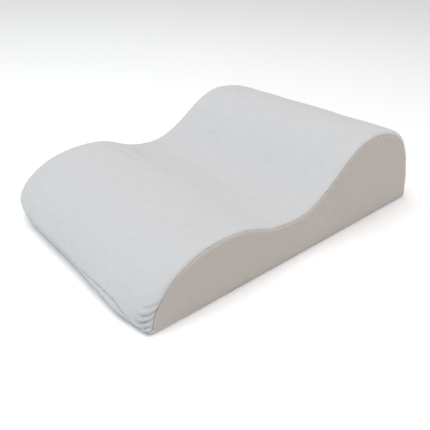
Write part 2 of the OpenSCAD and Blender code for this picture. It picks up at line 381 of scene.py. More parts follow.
# folds of the cover, on the front (x, height) and on top (x, y); the front ones repeat on the left
folds = {
    "leftShare": 0.35,
    "frontUpTo": -0.19,
    "topFrom": 0.045,
    "seamFade": 0.0016,
    "front": [
        ([(0.1528, 0.0365), (0.1490, 0.0330), (0.1440, 0.0305), (0.1380, 0.0290)], 0.0016, 0.0019),
        ([(0.1528, 0.0290), (0.1490, 0.0250), (0.1430, 0.0215), (0.1340, 0.0190)], 0.0030, 0.0021),
        ([(0.1528, 0.0215), (0.1490, 0.0180), (0.1420, 0.0140), (0.1310, 0.0115)], 0.0034, 0.0021),
        ([(0.1528, 0.0145), (0.1490, 0.0112), (0.1430, 0.0085), (0.1370, 0.0070)], 0.0028, 0.0018),
        ([(0.1528, 0.0085), (0.1500, 0.0066), (0.1450, 0.0052)], 0.0018, 0.0014),
    ],
    "top": [
        ([(-0.052, -0.024), (-0.021, -0.002), (0.015, 0.009), (0.056, 0.020)], 0.00110, 0.0030),
        ([(0.040, -0.084), (0.057, -0.055), (0.084, -0.044), (0.116, -0.030)], 0.00100, 0.0030),
        ([(0.092, -0.142), (0.104, -0.119), (0.116, -0.104)], 0.00080, 0.0026),
        ([(-0.150, -0.113), (-0.107, -0.102), (-0.070, -0.100), (-0.036, -0.104)], 0.00120, 0.0046),
        ([(-0.118, 0.020), (-0.077, 0.033), (-0.034, 0.041)], 0.00060, 0.0036),
        ([(-0.135, -0.050), (-0.100, -0.036), (-0.060, -0.028)], 0.00070, 0.0040),
    ],
}


def coverFolds(points):
    total = np.zeros(points.shape[:-1])
    onFront = points[..., 1] < folds["frontUpTo"]
    for side, share in ((-1, folds["leftShare"]), (1, 1)):
        flat = np.stack([points[..., 0] * side, points[..., 2]], axis=-1)
        for path, depth, width in folds["front"]:
            fold = softFold(flat, path, depth, width, 0, 0.5)
            total = total + share * np.where(onFront, fold, 0)
    flat = points[..., :2]
    onTop = points[..., 2] > folds["topFrom"]
    for path, depth, width in folds["top"]:
        total = total + np.where(onTop, softFold(flat, path, depth, width, 0.25, 0.4), 0)
    return total


# mesh helpers

def faceNormals(points, faces):
    a, b, c, d = (points[faces[:, i]] for i in range(4))
    return np.cross(c - a, d - b)


def pointNormals(points, faces):
    total = np.zeros_like(points)
    each = faceNormals(points, faces)
    for i in range(4):
        np.add.at(total, faces[:, i], each)
    return total / np.maximum(np.linalg.norm(total, axis=1), 1e-12)[:, None]


def gridFaces(rows, columns, closed=False):
    last = rows if closed else rows - 1
    i, j = np.meshgrid(np.arange(last), np.arange(columns - 1), indexing="ij")
    after = (i + 1) % rows
    quads = [i * columns + j, i * columns + j + 1, after * columns + j + 1, after * columns + j]
    return np.stack([q.ravel() for q in quads], axis=1)


def makePiece(name, points, faces, material, smoothed=True):
    mesh = bpy.data.meshes.new(name)
    mesh.from_pydata([tuple(p) for p in np.asarray(points).tolist()], [], [tuple(f) for f in faces])
    mesh.update()
    piece = bpy.data.objects.new(name, mesh)
    bpy.context.scene.collection.objects.link(piece)
    mesh.materials.append(material)
    mesh.polygons.foreach_set("use_smooth", [smoothed] * len(mesh.polygons))
    return piece


def thicken(piece, thickness):
    wall = piece.modifiers.new("wall", "SOLIDIFY")
    wall.thickness = thickness
    wall.offset = -1
    wall.use_even_offset = False
    wall.use_quality_normals = True
    return settle(piece)


# turns a piece's modifiers into its plain mesh
def settle(piece):
    seen = piece.evaluated_get(bpy.context.evaluated_depsgraph_get())
    mesh = bpy.data.meshes.new_from_object(seen)
    piece.modifiers.clear()
    old = piece.data
    piece.data = mesh
    mesh.name = piece.name
    bpy.data.meshes.remove(old)
    return piece


def sheetArea(points, faces):
    return float(np.linalg.norm(faceNormals(points, faces), axis=1).sum() / 2)


# materials

def newMaterial(name):
    material = bpy.data.materials.new(name)
    material.use_nodes = True
    nodes = material.node_tree.nodes
    nodes.clear()
    shader = nodes.new("ShaderNodeBsdfPrincipled")
    output = nodes.new("ShaderNodeOutputMaterial")
    material.node_tree.links.new(shader.outputs["BSDF"], output.inputs["Surface"])
    return material, shader


def addNode(material, kind, **values):
    node = material.node_tree.nodes.new(kind)
    for key, value in values.items():
        setattr(node, key, value)
    return node


def link(material, source, target):
    material.node_tree.links.new(source, target)


def objectPlace(material):
    return addNode(material, "ShaderNodeTexCoord").outputs["Object"]


def noiseNode(material, place, scale, detail=3.0, roughness=0.5):
    noise = addNode(material, "ShaderNodeTexNoise")
    noise.inputs["Scale"].default_value = scale
    noise.inputs["Detail"].default_value = detail
    noise.inputs["Roughness"].default_value = roughness
    link(material, place, noise.inputs["Vector"])
    return noise.outputs["Fac"]


def rampNode(material, factor, stops):
    ramp = addNode(material, "ShaderNodeValToRGB")
    elements = ramp.color_ramp.elements
    while len(elements) < len(stops):
        elements.new(0.5)
    for element, (place, colour) in zip(elements, stops):
        element.position = place
        element.color = (*colour, 1) if len(colour) == 3 else colour
    link(material, factor, ramp.inputs["Fac"])
    return ramp.outputs["Color"]


def bumpNode(material, height, strength, distance, before=None):
    bump = addNode(material, "ShaderNodeBump")
    bump.inputs["Strength"].default_value = strength
    bump.inputs["Distance"].default_value = distance
    link(material, height, bump.inputs["Height"])
    if before is not None:
        link(material, before, bump.inputs["Normal"])
    return bump.outputs["Normal"]


def mathNode(material, operation, a, b=None):
    node = addNode(material, "ShaderNodeMath", operation=operation)
    for socket, value in zip(node.inputs, (a, b)):
        if value is None:
            continue
        if isinstance(value, (int, float)):
            socket.default_value = value
        else:
            link(material, value, socket)
    return node.outputs["Value"]


pile = {
    "top": (0.574, 0.568, 0.577),
    "topShade": (0.534, 0.528, 0.537),
    # the end panels' pile is the top's fabric painted darker and warmer: painted shade on the end faces,
    # with a painted warm bounce light
    "end": (0.474, 0.436, 0.405),
    "endShade": (0.430, 0.392, 0.360),
    "tuft": 950.0,
    "loop": 620.0,
    "brushAndSheen": 110.0,
    "blotch": 24.0,
}


# short brushed pile: rows of small tufts, brush marks and soft blotches; the brush marks also go into the
# colour lighter and darker, a painted sheen of pile leaning different ways
def pileKnit(name, colour, shade):
    material, shader = newMaterial(name)
    place = objectPlace(material)
    tufts = noiseNode(material, place, pile["tuft"], 2.0, 0.65)
    loops = addNode(material, "ShaderNodeTexVoronoi", feature="SMOOTH_F1")
    loops.inputs["Scale"].default_value = pile["loop"]
    loops.inputs["Smoothness"].default_value = 0.6
    link(material, place, loops.inputs["Vector"])
    brushAndSheen = noiseNode(material, place, pile["brushAndSheen"], 4.0, 0.62)
    blotch = noiseNode(material, place, pile["blotch"], 3.0, 0.55)
    fine = mathNode(material, "MULTIPLY", tufts, 0.45)
    # brush marks in the colour: painted sheen, lighter and darker where the pile leans different ways
    wide = mathNode(material, "MULTIPLY", brushAndSheen, 0.35)
    widest = mathNode(material, "MULTIPLY", blotch, 0.20)
    together = mathNode(material, "ADD", fine, mathNode(material, "ADD", wide, widest))
    colours = rampNode(material, together, [(0.34, shade), (0.62, colour)])
    link(material, colours, shader.inputs["Base Color"])
    rough = rampNode(material, brushAndSheen, [(0.3, (0.86, 0.86, 0.86)), (0.7, (0.98, 0.98, 0.98))])
    link(material, rough, shader.inputs["Roughness"])
    first = bumpNode(material, loops.outputs["Distance"], 0.35, 0.0007)
    second = bumpNode(material, tufts, 0.55, 0.0007, first)
    third = bumpNode(material, brushAndSheen, 0.16, 0.0012, second)
    link(material, third, shader.inputs["Normal"])
    shader.inputs["Sheen Weight"].default_value = 0.22
    shader.inputs["Sheen Roughness"].default_value = 0.55
    shader.inputs["Specular IOR Level"].default_value = 0.12
    return material


# plain jersey for the liner: fine wales along the pillow
def jersey(name, colour, shade):
    material, shader = newMaterial(name)
    place = objectPlace(material)
    wales = addNode(material, "ShaderNodeTexWave", wave_type="BANDS", bands_direction="X")
    wales.inputs["Scale"].default_value = 260.0
    wales.inputs["Distortion"].default_value = 1.5
    link(material, place, wales.inputs["Vector"])
    blotch = noiseNode(material, place, 40.0, 3.0)
    link(material, rampNode(material, blotch, [(0.35, shade), (0.65, colour)]), shader.inputs["Base Color"])
    link(material, bumpNode(material, wales.outputs["Fac"], 0.3, 0.0003), shader.inputs["Normal"])
    shader.inputs["Roughness"].default_value = 0.9
    shader.inputs["Sheen Weight"].default_value = 0.15
    return material


# open-cell foam: pores of one size
def openFoam(name, colour, shade):
    material, shader = newMaterial(name)
    place = objectPlace(material)
    cells = addNode(material, "ShaderNodeTexVoronoi", feature="F1")
    cells.inputs["Scale"].default_value = 700.0
    link(material, place, cells.inputs["Vector"])
    pores = rampNode(material, cells.outputs["Distance"], [(0.15, shade), (0.5, colour)])
    link(material, pores, shader.inputs["Base Color"])
    link(material, bumpNode(material, cells.outputs["Distance"], 0.5, 0.0005), shader.inputs["Normal"])
    shader.inputs["Roughness"].default_value = 0.95
    shader.inputs["Subsurface Weight"].default_value = 0.05
    return material


# twisted sewing thread
def sewingThread(name, colour, shade):
    material, shader = newMaterial(name)
    place = objectPlace(material)
    twist = addNode(material, "ShaderNodeTexWave", wave_type="BANDS", bands_direction="DIAGONAL")
    twist.inputs["Scale"].default_value = 1400.0
    twist.inputs["Distortion"].default_value = 0.6
    link(material, place, twist.inputs["Vector"])
    colours = rampNode(material, twist.outputs["Fac"], [(0.2, shade), (0.8, colour)])
    link(material, colours, shader.inputs["Base Color"])
    link(material, bumpNode(material, twist.outputs["Fac"], 0.4, 0.0001), shader.inputs["Normal"])
    shader.inputs["Roughness"].default_value = 0.6
    shader.inputs["Sheen Weight"].default_value = 0.2
    return material


# woven zip tape: a fine herringbone
def zipWeave(name, colour, shade):
    material, shader = newMaterial(name)
    place = objectPlace(material)
    ribs = addNode(material, "ShaderNodeTexWave", wave_type="BANDS", bands_direction="X", wave_profile="TRI")
    ribs.inputs["Scale"].default_value = 480.0
    ribs.inputs["Distortion"].default_value = 3.0
    ribs.inputs["Detail Scale"].default_value = 2.0
    link(material, place, ribs.inputs["Vector"])
    colours = rampNode(material, ribs.outputs["Fac"], [(0.1, shade), (0.7, colour)])
    link(material, colours, shader.inputs["Base Color"])
    link(material, bumpNode(material, ribs.outputs["Fac"], 0.4, 0.0002), shader.inputs["Normal"])
    shader.inputs["Roughness"].default_value = 0.8
    return material


# drawn polyester monofilament of the coil
def coilPlastic(name, colour, shade):
    material, shader = newMaterial(name)
    place = objectPlace(material)
    streaks = noiseNode(material, place, 900.0, 2.0)
    link(material, rampNode(material, streaks, [(0.3, shade), (0.7, colour)]), shader.inputs["Base Color"])
    rough = rampNode(material, streaks, [(0.3, (0.32,) * 3), (0.7, (0.42,) * 3)])
    link(material, rough, shader.inputs["Roughness"])
    shader.inputs["Coat Weight"].default_value = 0.15
    return material


# brushed die-cast zip metal, with brighter worn patches
def zipMetal(name, colour, shade):
    material, shader = newMaterial(name)
    place = objectPlace(material)
    stretched = addNode(material, "ShaderNodeMapping")
    stretched.inputs["Scale"].default_value = (120.0, 2400.0, 2400.0)
    link(material, place, stretched.inputs["Vector"])
    grain = noiseNode(material, stretched.outputs["Vector"], 1.0, 2.0)
    worn = noiseNode(material, place, 260.0, 3.0)
    link(material, rampNode(material, worn, [(0.35, shade), (0.7, colour)]), shader.inputs["Base Color"])
    rough = rampNode(material, grain, [(0.25, (0.24,) * 3), (0.75, (0.42,) * 3)])
    link(material, rough, shader.inputs["Roughness"])
    link(material, bumpNode(material, grain, 0.12, 0.00005), shader.inputs["Normal"])
    shader.inputs["Metallic"].default_value = 1.0
    return material


# satin ribbon of the care label
def labelSatin(name, colour, shade):
    material, shader = newMaterial(name)
    place = objectPlace(material)
    warp = addNode(material, "ShaderNodeTexWave", wave_type="BANDS", bands_direction="Z")
    warp.inputs["Scale"].default_value = 900.0
    link(material, place, warp.inputs["Vector"])
    colours = rampNode(material, warp.outputs["Fac"], [(0.2, shade), (0.8, colour)])
    link(material, colours, shader.inputs["Base Color"])
    link(material, bumpNode(material, warp.outputs["Fac"], 0.2, 0.00008), shader.inputs["Normal"])
    shader.inputs["Roughness"].default_value = 0.42
    shader.inputs["Sheen Weight"].default_value = 0.3
    return material


coverPile = pileKnit("coverPile", pile["top"], pile["topShade"])
# the end panels' pile: the cover fabric with painted shade and a painted warm tint of bounce light
shadedEndPile = pileKnit("shadedEndPile", pile["end"], pile["endShade"])
linerJersey = jersey("linerJersey", (0.80, 0.79, 0.76), (0.72, 0.71, 0.68))
foamCells = openFoam("foamCells", (0.86, 0.80, 0.62), (0.70, 0.62, 0.44))
whiteThread = sewingThread("whiteThread", (0.74, 0.75, 0.76), (0.58, 0.59, 0.60))
whiteTape = zipWeave("whiteTape", (0.72, 0.73, 0.74), (0.58, 0.59, 0.61))
whiteCoil = coilPlastic("whiteCoil", (0.74, 0.75, 0.77), (0.64, 0.65, 0.67))
brushedZipMetal = zipMetal("brushedZipMetal", (0.78, 0.78, 0.79), (0.60, 0.60, 0.62))
whiteSatin = labelSatin("whiteSatin", (0.80, 0.80, 0.80), (0.70, 0.70, 0.71))
print("materials made")

# camera, light and floor

shot = {
    "place": (0.4507, -0.4284, 0.3555),
    "azimuth": 47.60,
    "elevation": 31.02,
    "roll": 2.336,
    "lens": 40.56,
    "sensor": 36,
}


def placeCamera():
    azimuth, elevation = math.radians(shot["azimuth"]), math.radians(shot["elevation"])
    back = Vector((
        math.sin(azimuth) * math.cos(elevation),
        -math.cos(azimuth) * math.cos(elevation),
        math.sin(elevation),
    ))
    right = Vector((math.cos(azimuth), math.sin(azimuth), 0))
    up = back.cross(right)
    turn = Matrix((right, up, back)).transposed().to_4x4()
    camera = bpy.data.objects.new("camera", bpy.data.cameras.new("camera"))
    bpy.context.scene.collection.objects.link(camera)
    roll = Matrix.Rotation(math.radians(shot["roll"]), 4, "Z")
    camera.matrix_world = Matrix.Translation(shot["place"]) @ turn @ roll
    camera.data.lens = shot["lens"]
    camera.data.sensor_width = shot["sensor"]
    bpy.context.scene.camera = camera


studio = {
    "sky": 0.64,
    "keyPlace": (0.1, -0.6, 2.1),
    "keySize": 1.4,
    "keyPower": 26.5,
    "keyColour": (1.0, 0.985, 0.985),
    "frontPlace": (-1.0, -3.8, 1.3),
    "frontSize": 2.5,
    "frontPower": 11.0,
    "frontColour": (0.0, 0.90, 1.0),
    "sidePlace": (2.3, 1.5, 0.55),
    "sideSize": 1.0,
    "sidePower": 7.0,
    "sideColour": (1.0, 0.93, 0.85),
    "floorColour": (0.97, 0.97, 0.97),
    "floorSize": 12.0,
    "floorLevel": -0.0004,
}


def lightStudio():
    world = bpy.data.worlds.new("studio")
    world.use_nodes = True
    sky = world.node_tree.nodes["Background"]
    sky.inputs["Color"].default_value = (1, 1, 1, 1)
    sky.inputs["Strength"].default_value = studio["sky"]
    bpy.context.scene.world = world
    for name in ("key", "front", "side"):
        lamp = bpy.data.objects.new(name, bpy.data.lights.new(name, "AREA"))
        lamp.data.shape = "DISK"
        lamp.data.size = studio[name + "Size"]
        lamp.data.energy = studio[name + "Power"]
        lamp.data.color = studio[name + "Colour"]
        lamp.location = studio[name + "Place"]
        lamp.rotation_euler = (-Vector(studio[name + "Place"])).to_track_quat("-Z", "Y").to_euler()
        bpy.context.scene.collection.objects.link(lamp)
    bpy.context.scene.view_settings.view_transform = "Standard"


def layFloor():
    material, shader = newMaterial("paleFloor")
    place = objectPlace(material)
    grain = noiseNode(material, place, 3.0, 2.0)
    tone = studio["floorColour"]
    link(material, rampNode(material, grain, [(0.3, tuple(0.99 * c for c in tone)), (0.7, tone)]),
         shader.inputs["Base Color"])
    shader.inputs["Roughness"].default_value = 0.9
    half = studio["floorSize"] / 2
    level = studio["floorLevel"]
    corners = [(x, y, level) for x, y in ((-half, -half), (half, -half), (half, half), (-half, half))]
    floor = makePiece("floor", corners, [(0, 1, 2, 3)], material, False)


placeCamera()
lightStudio()
layFloor()
print("camera, light and floor placed")

# the cover settles: a coarse sleeve is blown out a little between its seams

settling = {
    "cell": 0.009,
    "pressure": 4.0,
    "growth": 0.018,
    "frames": 20,
    "mostOut": 0.0042,
    "mostIn": 0.0012,
    "quality": 6,
    "mass": 0.35,
    "tension_stiffness": 15,
    "compression_stiffness": 10,
    "shear_stiffness": 5,
    "bending_stiffness": 0.3,
}


def settleCover():
    stops = np.linspace(0, 8, 4001)
    y, z, _, _ = outlineAt(stops, np.zeros_like(stops))
    run = np.concatenate([[0], np.cumsum(np.hypot(np.diff(y), np.diff(z)))])
    rowCount = int(round(run[-1] / settling["cell"]))
    rows = np.interp(np.linspace(0, run[-1], rowCount, endpoint=False), run, stops)
    count = int(round(2 * halfWidth / settling["cell"]))
    columns = np.concatenate([[-2, -1.5], np.linspace(-1, 1, count), [1.5, 2]])
    points = coverPoint(rows[:, None], columns[None, :])
    shape = points.shape[:2]
    flat = points.reshape(-1, 3)
    faces = gridFaces(*shape, closed=True)
    normals = pointNormals(flat, faces).reshape(*shape, 3)
    sleeve = makePiece("settlingSleeve", flat, faces.tolist(), coverPile)
    held = sleeve.vertex_groups.new(name="held")
    stay = np.zeros(shape)
    stay[:, :2] = 1
    stay[:, -2:] = 1
    stay[(rows > 5.1), :] = 1
    stay[(rows < 0.6), :] = 1
    for index in np.flatnonzero(stay.ravel()):
        held.add([int(index)], 1.0, "REPLACE")
    cloth = sleeve.modifiers.new("cloth", "CLOTH")
    options = cloth.settings
    for setting in ("quality", "mass", "tension_stiffness", "compression_stiffness",
                    "shear_stiffness", "bending_stiffness"):
        setattr(options, setting, settling[setting])
    options.use_pressure = True
    options.uniform_pressure_force = settling["pressure"]
    options.shrink_min = -settling["growth"]
    options.vertex_group_mass = "held"
    options.effector_weights.gravity = 0
    cloth.collision_settings.use_collision = False
    scene = bpy.context.scene
    for number in range(1, settling["frames"] + 1):
        scene.frame_set(number)
    seen = sleeve.evaluated_get(bpy.context.evaluated_depsgraph_get())
    moved = np.zeros(len(flat) * 3)
    seen.to_mesh().vertices.foreach_get("co", moved)
    moved = moved.reshape(-1, 3)
    seen.to_mesh_clear()
    scene.frame_set(1)
    out = ((moved - flat).reshape(*shape, 3) * normals).sum(axis=-1)
    bpy.data.objects.remove(sleeve)
    usual = np.percentile(np.abs(out[(rows > 1) & (rows < 5)]), 95)
    print("cover settled, usual move", round(float(usual) * 1000, 2), "mm before the cap")
    out = out * (settling["mostOut"] * 0.9 / max(usual, 1e-6))
    return rows, columns, np.clip(out, -settling["mostIn"], settling["mostOut"])


settledRows, settledColumns, settledOut = settleCover()


# the settled cover's move at any station and place across
def settledAt(t, across):
    rows = np.concatenate([settledRows, [8]])
    field = np.concatenate([settledOut, settledOut[:1]])
    turned = np.mod(t, 8)
    i = np.clip(np.searchsorted(rows, turned) - 1, 0, len(rows) - 2)
    j = np.clip(np.searchsorted(settledColumns, across) - 1, 0, len(settledColumns) - 2)
    u = (turned - rows[i]) / (rows[i + 1] - rows[i])
    v = np.clip((across - settledColumns[j]) / (settledColumns[j + 1] - settledColumns[j]), 0, 1)
    u = u * u * (3 - 2 * u)
    v = v * v * (3 - 2 * v)
    low = field[i, j] * (1 - v) + field[i, j + 1] * v
    high = field[i + 1, j] * (1 - v) + field[i + 1, j + 1] * v
    return low * (1 - u) + high * u


# cover: top and base panels

cover = {
    "coarse": 0.0030,
    "foldReach": 0.040,
    "fine": 0.0008,
    "baseCoarse": 0.0040,
    "thickness": 0.0016,
    "allowance": 0.008,
    "undulation": 0.00022,
    "topZones": (0.090, 0.024),
    "baseZones": (0.014, 0.040),
}


def panelGrid(startAt, endAt, coarse, startZone, endZone, foldReach):
    across = acrossStops(cover["coarse"])
    stations, length = panelStations(
        startAt, endAt, across, coarse, cover["fine"], startZone, endZone, foldReach)
    points = coverPoint(stations, across[None, :])
    return stations, across, points


def along(points, axis):
    steps = np.linalg.norm(np.diff(points, axis=axis), axis=-1)
    zero = np.zeros_like(np.take(steps, [0], axis=axis))
    return np.concatenate([zero, np.cumsum(steps, axis=axis)], axis=axis)


def dressPanel(stations, across, points, seed, lipAtStart):
    rows, columns = points.shape[:2]
    faces = gridFaces(rows, columns)
    flat = points.reshape(-1, 3)
    normals = pointNormals(flat, faces).reshape(rows, columns, 3)
    down = along(points, 0)
    over = along(points, 1)
    toLeft, toRight = over, over[:, -1:] - over
    toStart, toEnd = down, down[-1:, :] - down
    toLip, toZip = (toStart, toEnd) if lipAtStart else (toEnd, toStart)
    x = points[..., 0]
    out = settledAt(stations, np.broadcast_to(across, stations.shape))
    out = out + cover["undulation"] * drift(points, seed, 0.03, 0.09) * smooth(0.004, 0.03, points[..., 2])
    seamRun = down if lipAtStart else down[::-1]
    for apart, seam in ((toLeft, "leftSeam"), (toRight, "rightSeam")):
        out = out + groove(apart) + puckers(apart, seamRun, seeds[seam])
    faint = seams["lipFaint"]
    lipShare = faint + (1 - faint) * smooth(*seams["lipShowsFrom"], x)
    out = out + lipShare * (groove(toLip) + seams["lipPucker"] * puckers(toLip, x, seeds["lip"]))
    sewn = np.abs(x) > seams["slotHalf"]
    out = out + np.where(sewn, groove(toZip), 0)
    nearStitch = np.exp(-((toZip - seams["stitchLine"]) / seams["stitchReach"]) ** 2)
    turnedUnder = -seams["turnUnder"] * np.exp(-toZip / seams["turnReach"])
    ripples = ripple(x, seeds["slot"], 0.006, 0.011) * np.exp(-toZip / seams["slotRippleReach"])
    ripples = seams["slotRipple"] * ripples
    onSlot = 1 - smooth(seams["slotHalf"] - 0.003, seams["slotHalf"], np.abs(x))
    out = out + onSlot * (turnedUnder - seams["stitchDeep"] * nearStitch + ripples)
    toSeam = np.minimum(toLeft, toRight)
    out = out + coverFolds(points) * (1 - np.exp(-toSeam / folds["seamFade"]))
    moved = flat + (normals * out[..., None]).reshape(-1, 3)
    moved[:, 2] = np.maximum(moved[:, 2], 0)
    return moved, faces


def topStart(x):
    return lipStation(x)


def topEnd(x):
    return zipStation - slotGap(x) / slopeLength


def baseStart(x):
    return zipStation + slotGap(x) / slopeLength


def baseEnd(x):
    return 8 + lipStation(x)


topStations, topAcross, topPoints = panelGrid(
    topStart, topEnd, cover["coarse"], *cover["topZones"], cover["foldReach"])
topMoved, topFaces = dressPanel(topStations, topAcross, topPoints, seeds["cover"], True)
coverTop = makePiece("coverTop", topMoved, topFaces.tolist(), coverPile)
coverTop = thicken(coverTop, cover["thickness"])
print("top panel", len(coverTop.data.polygons), "faces")

baseStations, baseAcross, basePoints = panelGrid(
    baseStart, baseEnd, cover["baseCoarse"], *cover["baseZones"], 0)
baseMoved, baseFaces = dressPanel(baseStations, baseAcross, basePoints, seeds["cover"], False)
coverBase = makePiece("coverBase", baseMoved, baseFaces.tolist(), coverPile)
coverBase = thicken(coverBase, cover["thickness"])
print("base panel", len(coverBase.data.polygons), "faces")

# cover: end panels

endPanel = {
    "crown": 0.0016,
    "crownReach": 0.020,
    "cell": 0.0042,
    "rings": [2.0, 2.06, 2.16, 2.32, 2.55, 2.78, 3.0],
    "undulation": 0.00030,
    "allowanceArea": 0.011,
}


# fills a flat closed outline (y, z) with triangles that take in points at an even spacing
def fillOutline(outline, cell):
    low, high = outline.min(axis=0), outline.max(axis=0)
    rowsOfPoints = np.arange(low[1], high[1], cell * 0.866)
    inner = []
    for index, level in enumerate(rowsOfPoints):
        start = low[0] + (index % 2) * cell / 2
        inner.extend((place, level) for place in np.arange(start, high[0], cell))
    inner = np.array(inner)
    inner = inner[insideOutline(inner, outline)]
    apart = np.sqrt(((inner[:, None, :] - outline[None, ::2, :]) ** 2).sum(axis=2)).min(axis=1)
    inner = inner[apart > 0.6 * cell]
    count = len(outline)
    places = [Vector(p) for p in np.concatenate([outline, inner]).tolist()]
    edges = [(i, (i + 1) % count) for i in range(count)]
    made = delaunay_2d_cdt(places, edges, [], 1, 1e-7)
    return np.array([tuple(p) for p in made[0]]), [tuple(f) for f in made[2]], made[3]


def insideOutline(points, outline):
    inside = np.zeros(len(points), bool)
    ahead = np.roll(outline, -1, axis=0)
    for (ya, za), (yb, zb) in zip(outline, ahead):
        if za == zb:
            continue
        crosses = (za > points[:, 1]) != (zb > points[:, 1])
        at = ya + (points[:, 1] - za) / (zb - za) * (yb - ya)
        inside ^= crosses & (points[:, 0] < at)
    return inside


def endOutlineStations(side):
    column = -1 if side > 0 else 0
    return np.concatenate([topStations[:-1, column], baseStations[:-1, column]])


def makeEndPanel(name, side):
    # both ends are worked out as a right one, and the left one turned over at the end
    stations = endOutlineStations(side)
    rings = side * np.array(endPanel["rings"])
    points = coverPoint(stations[:, None], rings[None, :]) * np.array([side, 1, 1])
    count, ringCount = points.shape[:2]
    outline = points[:, -1, 1:]
    y, z = outline.T
    area = 0.5 * np.sum(y * np.roll(z, -1) - np.roll(y, -1) * z)
    order = np.arange(count) if area > 0 else np.arange(count)[::-1]
    places, triangles, sources = fillOutline(outline[order], endPanel["cell"])
    edge = outline[order]
    apart = np.sqrt(((places[:, None, :] - edge[None, :, :]) ** 2).sum(axis=2)).min(axis=1)
    bulge = endPanel["crown"] * (1 - np.exp(-apart / endPanel["crownReach"]))
    capPoints = np.column_stack([halfWidth + bulge, places])
    ringPoints = points.reshape(-1, 3)
    known = {}
    for index, source in enumerate(sources):
        for original in source:
            if original < count:
                known[index] = int(order[original]) * ringCount + ringCount - 1
    extra = [i for i in range(len(places)) if i not in known]
    numbers = dict(known)
    for offset, index in enumerate(extra):
        numbers[index] = len(ringPoints) + offset
    allPoints = np.concatenate([ringPoints, capPoints[extra]])
    ringQuads = gridFaces(count, ringCount, closed=True)
    capFaces = [tuple(numbers[i] for i in face) for face in triangles]
    padded = np.array([(*f, f[-1]) if len(f) == 3 else f for f in capFaces])
    corners = allPoints[padded]
    facing = np.cross(corners[:, 1] - corners[:, 0], corners[:, 2] - corners[:, 0])[:, 0]
    capFaces = [f if way > 0 else f[::-1] for f, way in zip(capFaces, facing)]
    padded = np.array([(*f, f[-1]) for f in capFaces])
    normals = pointNormals(allPoints, np.concatenate([ringQuads, padded]))
    seamApart = np.zeros(len(allPoints))
    ringApart = along(points, 1)
    seamApart[:len(ringPoints)] = ringApart.ravel()
    lastRing = ringApart[:, -1].mean()
    seamApart[len(ringPoints):] = lastRing + apart[extra]
    run = along(points[:, :1], 0)[:, 0]
    station = np.zeros(len(allPoints))
    station[:len(ringPoints)] = np.repeat(run, ringCount)
    nearest = np.argmin(((places[extra][:, None, :] - outline[None, :, :]) ** 2).sum(axis=2), axis=1)
    station[len(ringPoints):] = run[nearest]
    seed = seeds["rightSeam" if side > 0 else "leftSeam"]
    out = groove(seamApart) + puckers(seamApart, station, seed)
    inward = smooth(0.004, 0.02, seamApart)
    out = out + endPanel["undulation"] * inward * drift(allPoints, seeds["end"] + side, 0.03, 0.08)
    moved = allPoints + normals * out[:, None]
    moved[:, 2] = np.maximum(moved[:, 2], 0)
    faces = [tuple(f) for f in ringQuads.tolist()] + capFaces
    if side < 0:
        moved = moved * np.array([-1, 1, 1])
        faces = [f[::-1] for f in faces]
    # the end panel takes the pile with painted shade and a painted warm tint
    panel = makePiece(name, moved, faces, shadedEndPile)
    quads = np.array([(*f, f[-1]) if len(f) == 3 else f for f in faces])
    size = sheetArea(moved, quads)
    return thicken(panel, cover["thickness"]), size


coverRight, endArea = makeEndPanel("coverRight", 1)
coverLeft, _ = makeEndPanel("coverLeft", -1)
print("end panels", len(coverRight.data.polygons), "faces each, area", round(endArea, 4))

# rides and replacements of the cover

for piece, node in (
    (coverTop, "cover_top_panel"),
    (coverBase, "cover_base_panel"),
    (coverLeft, "cover_left_panel"),
    (coverRight, "cover_right_panel"),
):
    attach(piece, "pillow")
    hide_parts(node)

# foam core and liner, inside the cover

inner = {
    "rows": 0.007,
    "columns": 0.009,
    "foamEdge": 0.004,
    "linerEdge": 0.003,
    "linerWall": 0.0008,
    "linerBehindZip": 0.0050,
    "foamBehindZip": 0.0060,
    "capCell": 0.009,
    "foamFill": 1.0,
    "weldWithin": 0.00002,
    "linerAllowance": 0.006,
    "linerEndArea": 0.044,
}


# a face of an inner layer: inset from the cover's outline, further in behind the zip
def layerPoint(t, across, half, inset, zipInset, edge):
    t, across = np.broadcast_arrays(np.asarray(t, float), np.asarray(across, float))
    turn = np.clip(np.abs(across) - 1, 0, 1) * math.pi / 2
    x = (np.clip(np.abs(across), 0, 1) * (half - edge) + edge * np.sin(turn)) * np.sign(across)
    y, z, ny, nz = outlineAt(t, x)
    turned = np.mod(t, 8)
    behindZip = smooth(4.75, 5.05, turned) * (1 - smooth(5.85, 6.15, turned))
    deep = inset + (zipInset - inset) * behindZip + edge * (1 - np.cos(turn))
    return np.stack([x, y - ny * deep, z - nz * deep], axis=-1)


def layerGrid(half, inset, zipInset, edge):
    tries = np.linspace(0, 8, 4001)
    y, z, _, _ = outlineAt(tries, np.zeros_like(tries))
    run = np.concatenate([[0], np.cumsum(np.hypot(np.diff(y), np.diff(z)))])
    count = int(round(run[-1] / inner["rows"]))
    rows = np.interp(np.linspace(0, run[-1], count, endpoint=False), run, tries)
    flat = np.linspace(0, 1, int(round(half / inner["columns"])) + 1)
    right = np.concatenate([flat, 1 + np.linspace(0, 1, 6)[1:]])
    across = np.concatenate([-right[::-1], right[1:]])
    return layerPoint(rows[:, None], across[None, :], half, inset, zipInset, edge)


# a flat end that closes a layer's last column: its points, and its triangles turned outwards
def closingCap(column, side):
    outline = column[:, 1:]
    places, triangles, sources = fillOutline(outline, inner["capCell"])
    points = np.column_stack([np.full(len(places), column[:, 0].mean()), places])
    for index, source in enumerate(sources):
        for original in source:
            if original < len(column):
                points[index] = column[original]
    faces = []
    for face in triangles:
        a, b, c = (points[i] for i in face[:3])
        faces.append(face if np.cross(b - a, c - a)[0] * side > 0 else face[::-1])
    return points, faces


